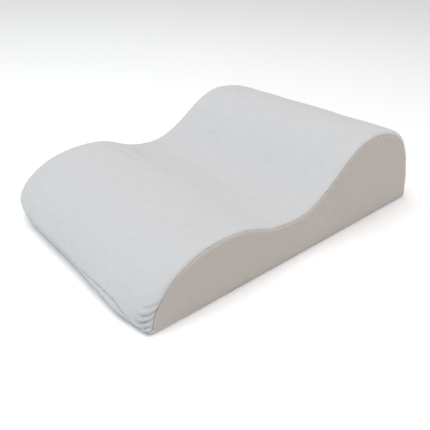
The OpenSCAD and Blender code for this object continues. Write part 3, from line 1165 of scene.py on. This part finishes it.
def makeFoam():
    low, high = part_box("foam_core")
    points = layerGrid(high.x, low.z, inner["foamBehindZip"], inner["foamEdge"])
    rows, columns = points.shape[:2]
    allPoints = points.reshape(-1, 3)
    faces = [tuple(f) for f in gridFaces(rows, columns, closed=True).tolist()]
    for side, column in ((1, points[:, -1]), (-1, points[:, 0])):
        capPoints, capFaces = closingCap(column, side)
        faces += [tuple(i + len(allPoints) for i in f) for f in capFaces]
        allPoints = np.concatenate([allPoints, capPoints])
    foam = makePiece("foamCore", allPoints, faces, foamCells)
    weld = foam.modifiers.new("weld", "WELD")
    weld.merge_threshold = inner["weldWithin"]
    return settle(foam)


def makeLiner():
    low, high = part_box("liner_sleeve")
    points = layerGrid(high.x, low.z, inner["linerBehindZip"], inner["linerEdge"])
    rows, columns = points.shape[:2]
    faces = gridFaces(rows, columns, closed=True).tolist()
    sleeve = makePiece("linerSleeve", points.reshape(-1, 3), faces, linerJersey)
    around = float(along(np.concatenate([points, points[:1]]), 0)[-1].max())
    wide = float(along(points, 1)[:, -1].max())
    size = tuple(round(length + 2 * inner["linerAllowance"], 3) for length in (wide, around))
    pieces = [(thicken(sleeve, inner["linerWall"]), "liner_sleeve")]
    for side, column, name in ((1, points[:, -1], "linerRight"), (-1, points[:, 0], "linerLeft")):
        capPoints, capFaces = closingCap(column, side)
        cap = makePiece(name, capPoints, capFaces, linerJersey)
        node = "liner_right_end" if side > 0 else "liner_left_end"
        pieces.append((thicken(cap, inner["linerWall"]), node))
    return pieces, size


foamCore = makeFoam()
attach(foamCore, "pillow")
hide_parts("foam_core")

linerPieces, linerFlat = makeLiner()
for piece, node in linerPieces:
    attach(piece, "pillow")
    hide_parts(node)
print("foam core and liner made")

# what repeats along a seam: a small shape set out along a path


def shapeTree(name, sizes, makeShape):
    tree = bpy.data.node_groups.new(name, "GeometryNodeTree")
    face = tree.interface
    face.new_socket("Geometry", in_out="INPUT", socket_type="NodeSocketGeometry")
    for label, value in sizes.items():
        socket = face.new_socket(label, in_out="INPUT", socket_type="NodeSocketFloat")
        socket.default_value = value
        socket.min_value = -1.0
    normal = face.new_socket("Facing", in_out="INPUT", socket_type="NodeSocketVector")
    normal.default_value = tuple(backOut)
    face.new_socket("Material", in_out="INPUT", socket_type="NodeSocketMaterial")
    face.new_socket("Geometry", in_out="OUTPUT", socket_type="NodeSocketGeometry")
    nodes, links = tree.nodes, tree.links
    given = nodes.new("NodeGroupInput")
    result = nodes.new("NodeGroupOutput")
    path = nodes.new("GeometryNodeMeshToCurve")
    spaced = nodes.new("GeometryNodeResampleCurve")
    spaced.mode = "LENGTH"
    tangent = nodes.new("GeometryNodeInputTangent")
    turn = nodes.new("FunctionNodeAlignRotationToVector")
    turn.axis = "X"
    lay = nodes.new("FunctionNodeAlignRotationToVector")
    lay.axis = "Z"
    lay.pivot_axis = "X"
    place = nodes.new("GeometryNodeInstanceOnPoints")
    real = nodes.new("GeometryNodeRealizeInstances")
    smoothShade = nodes.new("GeometryNodeSetShadeSmooth")
    finish = nodes.new("GeometryNodeSetMaterial")
    links.new(given.outputs["Geometry"], path.inputs["Mesh"])
    links.new(path.outputs["Curve"], spaced.inputs["Curve"])
    links.new(given.outputs["Pitch"], spaced.inputs["Length"])
    links.new(tangent.outputs["Tangent"], turn.inputs["Vector"])
    links.new(turn.outputs["Rotation"], lay.inputs["Rotation"])
    links.new(given.outputs["Facing"], lay.inputs["Vector"])
    links.new(spaced.outputs["Curve"], place.inputs["Points"])
    links.new(makeShape(nodes, links, given), place.inputs["Instance"])
    links.new(lay.outputs["Rotation"], place.inputs["Rotation"])
    links.new(place.outputs["Instances"], real.inputs["Geometry"])
    links.new(real.outputs["Geometry"], smoothShade.inputs["Geometry"])
    links.new(smoothShade.outputs["Geometry"], finish.inputs["Geometry"])
    links.new(given.outputs["Material"], finish.inputs["Material"])
    links.new(finish.outputs["Geometry"], result.inputs["Geometry"])
    return tree


def sizeVector(nodes, links, given, labels, shares=(1, 1, 1)):
    combine = nodes.new("ShaderNodeCombineXYZ")
    for socket, label, share in zip(combine.inputs, labels, shares):
        scaled = nodes.new("ShaderNodeMath")
        scaled.operation = "MULTIPLY"
        scaled.inputs[1].default_value = share
        links.new(given.outputs[label], scaled.inputs[0])
        links.new(scaled.outputs["Value"], socket)
    return combine.outputs["Vector"]


# one stitch: a low rounded bead of thread, pulled down at its ends
def stitchShape(nodes, links, given):
    bead = nodes.new("GeometryNodeMeshUVSphere")
    bead.inputs["Segments"].default_value = 8
    bead.inputs["Rings"].default_value = 5
    bead.inputs["Radius"].default_value = 0.5
    spin = nodes.new("GeometryNodeTransform")
    spin.inputs["Rotation"].default_value = (0, math.pi / 2, 0)
    stretch = nodes.new("GeometryNodeTransform")
    links.new(bead.outputs["Mesh"], spin.inputs["Geometry"])
    links.new(spin.outputs["Geometry"], stretch.inputs["Geometry"])
    links.new(sizeVector(nodes, links, given, ("Length", "Width", "Thickness")), stretch.inputs["Scale"])
    return stretch.outputs["Geometry"]


# one turn of the coil: an oval loop of monofilament across the path, leaning along it
def loopShape(nodes, links, given):
    ring = nodes.new("GeometryNodeCurvePrimitiveCircle")
    ring.inputs["Resolution"].default_value = 10
    ring.inputs["Radius"].default_value = 0.5
    stretch = nodes.new("GeometryNodeTransform")
    links.new(ring.outputs["Curve"], stretch.inputs["Geometry"])
    links.new(sizeVector(nodes, links, given, ("Thickness", "Width", "Thickness")), stretch.inputs["Scale"])
    stand = nodes.new("GeometryNodeTransform")
    stand.inputs["Rotation"].default_value = (0, math.pi / 2 - 0.28, 0)
    links.new(stretch.outputs["Geometry"], stand.inputs["Geometry"])
    section = nodes.new("GeometryNodeCurvePrimitiveCircle")
    section.inputs["Resolution"].default_value = 5
    links.new(given.outputs["Length"], section.inputs["Radius"])
    tube = nodes.new("GeometryNodeCurveToMesh")
    links.new(stand.outputs["Geometry"], tube.inputs["Curve"])
    links.new(section.outputs["Curve"], tube.inputs["Profile Curve"])
    return tube.outputs["Mesh"]


stitchSizes = {"Pitch": 0.003, "Length": 0.0026, "Width": 0.0005, "Thickness": 0.0004}
loopSizes = {"Pitch": 0.00125, "Length": 0.00027, "Width": 0.0025, "Thickness": 0.0019}
stitchTree = shapeTree("stitchRun", stitchSizes, stitchShape)
loopTree = shapeTree("loopRun", loopSizes, loopShape)


def runAlong(name, tree, paths, values, material, facing=None):
    points, edges = [], []
    for path in paths:
        start = len(points)
        points += [tuple(p) for p in path]
        edges += [(start + i, start + i + 1) for i in range(len(path) - 1)]
    mesh = bpy.data.meshes.new(name)
    mesh.from_pydata(points, edges, [])
    piece = bpy.data.objects.new(name, mesh)
    bpy.context.scene.collection.objects.link(piece)
    modifier = piece.modifiers.new(name, "NODES")
    modifier.node_group = tree
    for item in tree.interface.items_tree:
        if item.in_out != "INPUT" or item.name == "Geometry":
            continue
        if item.name == "Material":
            modifier[item.identifier] = material
        elif item.name == "Facing":
            modifier[item.identifier] = tuple(facing or backOut)
        else:
            modifier[item.identifier] = float(values.get(item.name, item.default_value))
    return settle(piece)


# a place on the back face: along the zip, down the slope, and out
def onBack(x, down, out):
    x, down, out = np.broadcast_arrays(np.asarray(x, float), np.asarray(down, float), np.asarray(out, float))
    place = np.array(zipMiddle) + down[..., None] * -np.array(backUp) + out[..., None] * np.array(backOut)
    place[..., 0] = x
    return place


def keepOn(piece, body, slot, *nodes):
    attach(piece, body)
    if nodes:
        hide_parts(*nodes)
    return piece


# zip: tapes, coils, stitching

zipSet = {
    "tapeWidth": 0.0132,
    "tapeThickness": 0.0007,
    "tapeGap": 0.0008,
    "tapeOut": -0.0017,
    "coilPitch": 0.00128,
    "coilThread": 0.00026,
    "coilWidth": 0.0027,
    "coilHeight": 0.0018,
    "coilDown": 0.00150,
    "coilOut": -0.00045,
    "stitchDown": 0.0086,
    "stitchOut": -0.00012,
    "stitchEnd": 0.1335,
    "stitchPitch": 0.0030,
    "tackPitch": 0.00045,
    "tackWidth": 0.0021,
    "tackReach": 0.0062,
    "tackLength": 0.00052,
    "tackThickness": 0.0008,
    "tackIn": 0.0002,
    "tackOut": 0.0005,
    "tapeRipple": 0.00012,
    "coilInset": 0.0004,
}


def makeTape(name, node, side):
    low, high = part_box(node)
    x = np.linspace(low.x, high.x, 190)
    width = zipSet["tapeWidth"]
    down = zipSet["tapeGap"] + np.linspace(0, 1, 13) * width
    across, over = np.meshgrid(side * down, x, indexing="ij")
    fades = smooth(0.004, 0.012, np.abs(across))
    wavy = zipSet["tapeRipple"] * ripple(over, seeds["tape"] + side, 0.012, 0.04) * fades
    points = onBack(over, across, zipSet["tapeOut"] + wavy)
    # rows run up the slope, as the cover's do
    rows = points if side < 0 else points[::-1]
    faces = gridFaces(*rows.shape[:2])
    normals = pointNormals(rows.reshape(-1, 3), faces)
    if normals[:, 1].mean() < 0:
        faces = faces[:, ::-1]
    tape = makePiece(name, rows.reshape(-1, 3), faces.tolist(), whiteTape)
    tape = thicken(tape, zipSet["tapeThickness"])
    keepOn(tape, "pillow", "zip_tape", node)


makeTape("tapeUpper", "zip_upper_tape", -1)
makeTape("tapeLower", "zip_lower_tape", 1)


def makeCoil(name, node, side):
    low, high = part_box(node)
    shift = 0.5 * zipSet["coilPitch"] if side > 0 else 0
    inset = zipSet["coilInset"]
    ends = (low.x + inset + shift, high.x - inset)
    path = onBack(np.linspace(*ends, 2), side * zipSet["coilDown"], zipSet["coilOut"])
    values = {
        "Pitch": zipSet["coilPitch"],
        "Length": zipSet["coilThread"],
        "Width": zipSet["coilWidth"],
        "Thickness": zipSet["coilHeight"],
    }
    keepOn(runAlong(name, loopTree, [path], values, whiteCoil), "pillow", "zip_coil", node)


makeCoil("coilUpper", "zip_upper_coil", -1)
makeCoil("coilLower", "zip_lower_coil", 1)


def makeStitching(name, node, side):
    x = np.linspace(-zipSet["stitchEnd"], zipSet["stitchEnd"], 60)
    path = onBack(x, side * zipSet["stitchDown"], zipSet["stitchOut"])
    stitching = runAlong(name, stitchTree, [path], {"Pitch": zipSet["stitchPitch"]}, whiteThread)
    keepOn(stitching, "pillow", "thread", node)


makeStitching("stitchUpper", "zip_upper_stitching", -1)
makeStitching("stitchLower", "zip_lower_stitching", 1)


def makeBartacks():
    low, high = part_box("zip_bartacks")
    reach = zipSet["tackReach"]
    middle = high.x - 0.5 * zipSet["tackWidth"] + zipSet["tackIn"]
    sink = cornerDrop(middle, wave["highRun"], wave["highDrop"], wave["highPower"])
    out = zipSet["tackOut"] - sink
    paths = [onBack(side * middle, np.linspace(-reach, reach, 12), out) for side in (-1, 1)]
    values = {
        "Pitch": zipSet["tackPitch"],
        "Length": zipSet["tackLength"],
        "Width": zipSet["tackWidth"],
        "Thickness": zipSet["tackThickness"],
    }
    keepOn(runAlong("bartacks", stitchTree, paths, values, whiteThread), "pillow", "thread", "zip_bartacks")


makeBartacks()
print("zip tapes, coils and stitching made")

# seam allowances inside the cover: a folded strip bound with loops of thread

binding = {
    "deep": 0.0038,
    "deeperInFolds": 0.0042,
    "frontDeep": 0.0036,
    "width": 0.0075,
    "thickness": 0.0009,
    "pitch": 0.0042,
    "thread": 0.00022,
    "loopWidth": 0.0056,
    "loopHeight": 0.0014,
    "frontEnds": 0.009,
    "frontSpread": 0.22,
    "frontThickness": 0.0007,
    "frontLoopHeight": 0.0010,
    "frontFacing": (0, -1, 0.25),
}


def makeEndBinding(name, node, side):
    low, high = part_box(node)
    x = (low.x + high.x) / 2
    stations = np.linspace(0, 8, 360, endpoint=False)
    folded = (1 - smooth(1.4, 2.0, stations)) + smooth(7.9, 8.0, stations)
    rows = []
    for share in np.linspace(0, 1, 4):
        depth = binding["deep"] + binding["deeperInFolds"] * folded + share * binding["width"]
        y, z, ny, nz = outlineAt(stations, np.full_like(stations, x))
        rows.append(np.stack([np.full_like(y, x), y - ny * depth, z - nz * depth], axis=-1))
    points = np.stack(rows, axis=1)
    points[..., 2] = np.maximum(points[..., 2], binding["deep"])
    faces = gridFaces(*points.shape[:2], closed=True)
    facing = faceNormals(points.reshape(-1, 3), faces)[:, 0].mean()
    if facing * side < 0:
        faces = faces[:, ::-1]
    # the allowance strip takes the end panels' pile, painted shade and warm tint included
    strip = makePiece(name + "Strip", points.reshape(-1, 3), faces.tolist(), shadedEndPile)
    strip = thicken(strip, binding["thickness"])
    middle = points[:, 1:3].mean(axis=1)
    middle = np.concatenate([middle, middle[:1]])
    values = {
        "Pitch": binding["pitch"],
        "Length": binding["thread"],
        "Width": binding["loopWidth"],
        "Thickness": binding["loopHeight"],
    }
    loops = runAlong(name, loopTree, [middle], values, whiteThread, (side, 0, 0))
    keepOn(loops, "pillow", "thread", node)
    keepOn(strip, "pillow", "end_pile")


makeEndBinding("leftOverlock", "left_overlock_seam", -1)
makeEndBinding("rightOverlock", "right_overlock_seam", 1)


def makeFrontBinding():
    low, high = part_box("front_overlock_seam")
    x = np.linspace(low.x + binding["frontEnds"], high.x - binding["frontEnds"], 90)
    rows = []
    for step in np.linspace(-0.5, 0.5, 5):
        y, z, ny, nz = outlineAt(lipStation(x) + step * binding["frontSpread"], x)
        depth = binding["frontDeep"]
        rows.append(np.stack([x, y - ny * depth, z - nz * depth], axis=-1))
    points = np.stack(rows, axis=0)
    faces = gridFaces(*points.shape[:2]).tolist()
    strip = makePiece("frontOverlockStrip", points.reshape(-1, 3), faces, coverPile)
    strip = thicken(strip, binding["frontThickness"])
    values = {
        "Pitch": binding["pitch"],
        "Length": binding["thread"],
        "Width": binding["loopWidth"],
        "Thickness": binding["frontLoopHeight"],
    }
    facing = binding["frontFacing"]
    loops = runAlong("frontOverlock", loopTree, [points[2]], values, whiteThread, facing)
    keepOn(loops, "pillow", "thread", "front_overlock_seam")
    keepOn(strip, "pillow", "cover_pile")


makeFrontBinding()
print("seam allowances bound")

# care label: a blank satin ribbon sewn into the left end's back seam

label = {
    "length": 0.034,
    "width": 0.022,
    "thickness": 0.00025,
    "proud": 0.0007,
    "curl": 0.0016,
    "tuck": 0.0012,
    "sway": 0.00025,
}


def makeLabel():
    low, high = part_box("care_label")
    lean = wave["backLean"]
    up = np.array([0, -math.sin(lean), math.cos(lean)])
    forward = np.array([0, -math.cos(lean), -math.sin(lean)])
    sewn = np.array([0, high.y, high.z]) - up * label["width"]
    u, v = np.meshgrid(np.linspace(0, 1, 19), np.linspace(0, 1, 12), indexing="ij")
    points = sewn + u[..., None] * label["length"] * forward + v[..., None] * label["width"] * up
    bulge = endPanel["crown"] * (1 - np.exp(-u * label["length"] / endPanel["crownReach"]))
    curl = label["curl"] * (u ** 3) * (0.4 + 0.6 * np.abs(v - 0.35))
    tuck = label["tuck"] * (1 - smooth(0, 0.08, u))
    sway = label["sway"] * np.sin(9 * v + 4 * u) * u
    points[..., 0] = -(halfWidth + bulge + label["proud"] + curl + sway - tuck)
    faces = gridFaces(*points.shape[:2])
    if faceNormals(points.reshape(-1, 3), faces)[:, 0].mean() > 0:
        faces = faces[:, ::-1]
    ribbon = makePiece("careLabel", points.reshape(-1, 3), faces.tolist(), whiteSatin)
    ribbon = thicken(ribbon, label["thickness"])
    keepOn(ribbon, "pillow", "label_satin", "care_label")


makeLabel()
print("care label sewn in")

# zip metal: the frame's own pieces, finished

for name in ("zip_slider", "zip_pull", "zip_top_stops", "zip_bottom_stop"):
    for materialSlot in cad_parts[name].material_slots:
        materialSlot.material = brushedZipMetal
print("zip metal finished")
